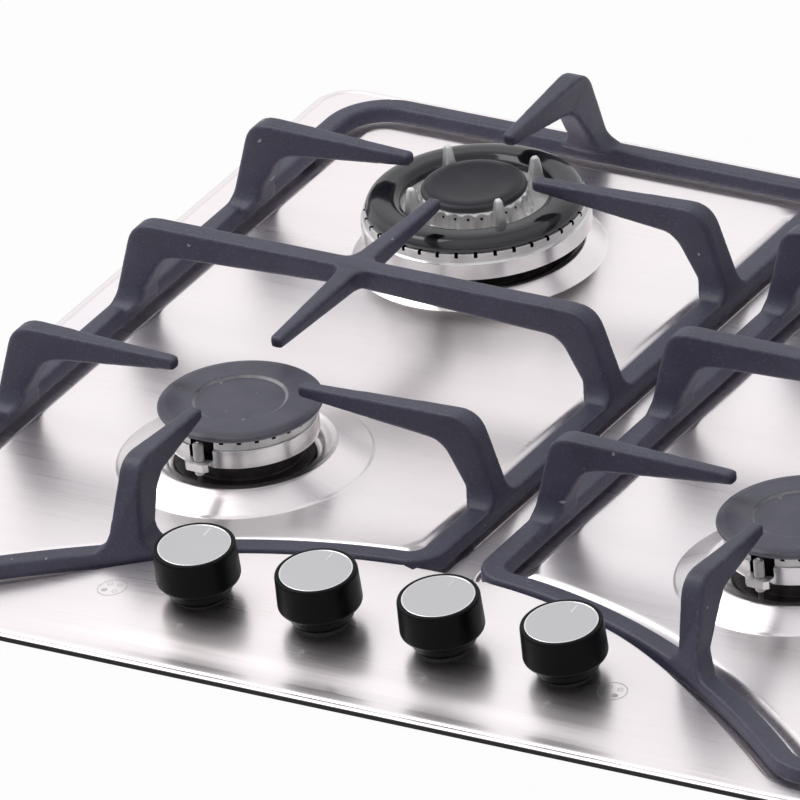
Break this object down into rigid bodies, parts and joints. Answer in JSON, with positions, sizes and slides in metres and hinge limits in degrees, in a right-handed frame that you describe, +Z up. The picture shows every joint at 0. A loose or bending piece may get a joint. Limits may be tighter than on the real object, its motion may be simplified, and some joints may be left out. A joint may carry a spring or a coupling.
{
  "type": "built-in gas cooktop",
  "caption": "Built-in gas cooktop: brushed steel plate with a bowed control panel, push-and-turn knobs, small burners, a larger wok burner and cast-iron pan supports.",
  "frame": {"origin": "middle of the casing's flat underside, below the middle of the top plate", "axes": "+X to the user's right, +Y to the rear, +Z up"},
  "size_m": [0.59, 0.52, 0.1073],
  "materials": {
    "brushed_plate": "fine brushed, satin",
    "galvanised_steel": "galvanised, dull",
    "cast_aluminium": "die-cast, satin",
    "polished_aluminium": "turned, bright",
    "brushed_aluminium": "fine brushed",
    "white_ceramic": "glazed ceramic",
    "brass": "turned",
    "knob_black": "smooth satin black",
    "black_plastic": "moulded",
    "matt_enamel": "matt black vitreous enamel",
    "gloss_enamel": "glossy black vitreous enamel",
    "cast_iron": "matt black enamelled casting",
    "rubber": "matt black"
  },
  "bodies": {
    "hob": {"top_plate": "brushed_plate", "bottom_casing": "galvanised_steel", "left_worktop_clamp": "galvanised_steel", "right_worktop_clamp": "galvanised_steel", "rim_seal": "rubber", "mains_gland": "rubber", "front_left_burner_cup": "cast_aluminium", "front_left_spark_plug": "white_ceramic", "front_left_gas_pipe": "cast_aluminium", "front_left_tap_body": "brass", "front_right_burner_cup": "cast_aluminium", "front_right_spark_plug": "white_ceramic", "front_right_gas_pipe": "cast_aluminium", "front_right_tap_body": "brass", "rear_right_burner_cup": "cast_aluminium", "rear_right_spark_plug": "white_ceramic", "rear_right_gas_pipe": "cast_aluminium", "rear_right_tap_body": "brass", "rear_left_burner_cup": "cast_aluminium", "rear_left_spark_plug": "white_ceramic", "rear_left_gas_pipe": "cast_aluminium", "rear_left_tap_body": "brass", "gas_manifold": "cast_aluminium", "gas_inlet_elbow": "brass", "ignition_box": "black_plastic"},
    "front_left_head": {"front_left_burner_head": "polished_aluminium"},
    "front_right_head": {"front_right_burner_head": "polished_aluminium"},
    "rear_right_head": {"rear_right_burner_head": "polished_aluminium"},
    "rear_left_head": {"rear_left_burner_head": "polished_aluminium"},
    "front_left_cap": {"front_left_burner_cap": "matt_enamel"},
    "front_right_cap": {"front_right_burner_cap": "matt_enamel"},
    "rear_right_cap": {"rear_right_burner_cap": "matt_enamel"},
    "rear_left_ring": {"rear_left_ring_cap": "gloss_enamel"},
    "rear_left_centre": {"rear_left_centre_cap": "matt_enamel"},
    "front_left_plug": {"front_left_tap_plug": "brass"},
    "front_left_knob": {"front_left_tap_stem": "brass", "front_left_knob": "knob_black", "front_left_knob_disc": "brushed_aluminium"},
    "rear_left_plug": {"rear_left_tap_plug": "brass"},
    "rear_left_knob": {"rear_left_tap_stem": "brass", "rear_left_knob": "knob_black", "rear_left_knob_disc": "brushed_aluminium"},
    "rear_right_plug": {"rear_right_tap_plug": "brass"},
    "rear_right_knob": {"rear_right_tap_stem": "brass", "rear_right_knob": "knob_black", "rear_right_knob_disc": "brushed_aluminium"},
    "front_right_plug": {"front_right_tap_plug": "brass"},
    "front_right_knob": {"front_right_tap_stem": "brass", "front_right_knob": "knob_black", "front_right_knob_disc": "brushed_aluminium"},
    "left_support": {"left_pan_support": "cast_iron", "left_inner_front_foot": "rubber", "left_outer_front_foot": "rubber", "left_inner_rear_foot": "rubber", "left_outer_rear_foot": "rubber"},
    "right_support": {"right_pan_support": "cast_iron", "right_inner_front_foot": "rubber", "right_outer_front_foot": "rubber", "right_inner_rear_foot": "rubber", "right_outer_rear_foot": "rubber"}
  },
  "joints": [
    {"name": "front_left_tap_turn", "type": "hinge", "parent": "hob", "child": "front_left_plug", "pos_m": [-0.0945, -0.202, 0.0635], "axis": [0, -0.0872, 0.9962], "range_deg": [0, 210]},
    {"name": "front_left_knob_press", "type": "slide", "parent": "front_left_plug", "child": "front_left_knob", "axis": [0, 0.0872, -0.9962], "range_m": [0, 0.002], "stiffness_N_per_m": 3000, "springref_m": -0.001},
    {"name": "rear_left_tap_turn", "type": "hinge", "parent": "hob", "child": "rear_left_plug", "pos_m": [-0.0315, -0.202, 0.0635], "axis": [0, -0.0872, 0.9962], "range_deg": [0, 210]},
    {"name": "rear_left_knob_press", "type": "slide", "parent": "rear_left_plug", "child": "rear_left_knob", "axis": [0, 0.0872, -0.9962], "range_m": [0, 0.002], "stiffness_N_per_m": 3000, "springref_m": -0.001},
    {"name": "rear_right_tap_turn", "type": "hinge", "parent": "hob", "child": "rear_right_plug", "pos_m": [0.0315, -0.202, 0.0635], "axis": [0, -0.0872, 0.9962], "range_deg": [0, 210]},
    {"name": "rear_right_knob_press", "type": "slide", "parent": "rear_right_plug", "child": "rear_right_knob", "axis": [0, 0.0872, -0.9962], "range_m": [0, 0.002], "stiffness_N_per_m": 3000, "springref_m": -0.001},
    {"name": "front_right_tap_turn", "type": "hinge", "parent": "hob", "child": "front_right_plug", "pos_m": [0.0945, -0.202, 0.0635], "axis": [0, -0.0872, 0.9962], "range_deg": [0, 210]},
    {"name": "front_right_knob_press", "type": "slide", "parent": "front_right_plug", "child": "front_right_knob", "axis": [0, 0.0872, -0.9962], "range_m": [0, 0.002], "stiffness_N_per_m": 3000, "springref_m": -0.001},
    {"name": "front_left_head_lift", "type": "slide", "parent": "hob", "child": "front_left_head", "axis": [0, 0, 1], "range_m": [0, 0.003]},
    {"name": "front_right_head_lift", "type": "slide", "parent": "hob", "child": "front_right_head", "axis": [0, 0, 1], "range_m": [0, 0.003]},
    {"name": "rear_right_head_lift", "type": "slide", "parent": "hob", "child": "rear_right_head", "axis": [0, 0, 1], "range_m": [0, 0.003]},
    {"name": "rear_left_head_lift", "type": "slide", "parent": "hob", "child": "rear_left_head", "axis": [0, 0, 1], "range_m": [0, 0.002]},
    {"name": "front_left_cap_lift", "type": "slide", "parent": "front_left_head", "child": "front_left_cap", "axis": [0, 0, 1], "range_m": [0, 0.004]},
    {"name": "front_right_cap_lift", "type": "slide", "parent": "front_right_head", "child": "front_right_cap", "axis": [0, 0, 1], "range_m": [0, 0.004]},
    {"name": "rear_right_cap_lift", "type": "slide", "parent": "rear_right_head", "child": "rear_right_cap", "axis": [0, 0, 1], "range_m": [0, 0.004]},
    {"name": "rear_left_ring_lift", "type": "slide", "parent": "rear_left_head", "child": "rear_left_ring", "axis": [0, 0, 1], "range_m": [0, 0.002]},
    {"name": "rear_left_centre_lift", "type": "slide", "parent": "rear_left_head", "child": "rear_left_centre", "axis": [0, 0, 1], "range_m": [0, 0.01]},
    {"name": "left_support_lift", "type": "slide", "parent": "hob", "child": "left_support", "axis": [0, 0, 1], "range_m": [0, 0.06]},
    {"name": "right_support_lift", "type": "slide", "parent": "hob", "child": "right_support", "axis": [0, 0, 1], "range_m": [0, 0.06]}
  ]
}
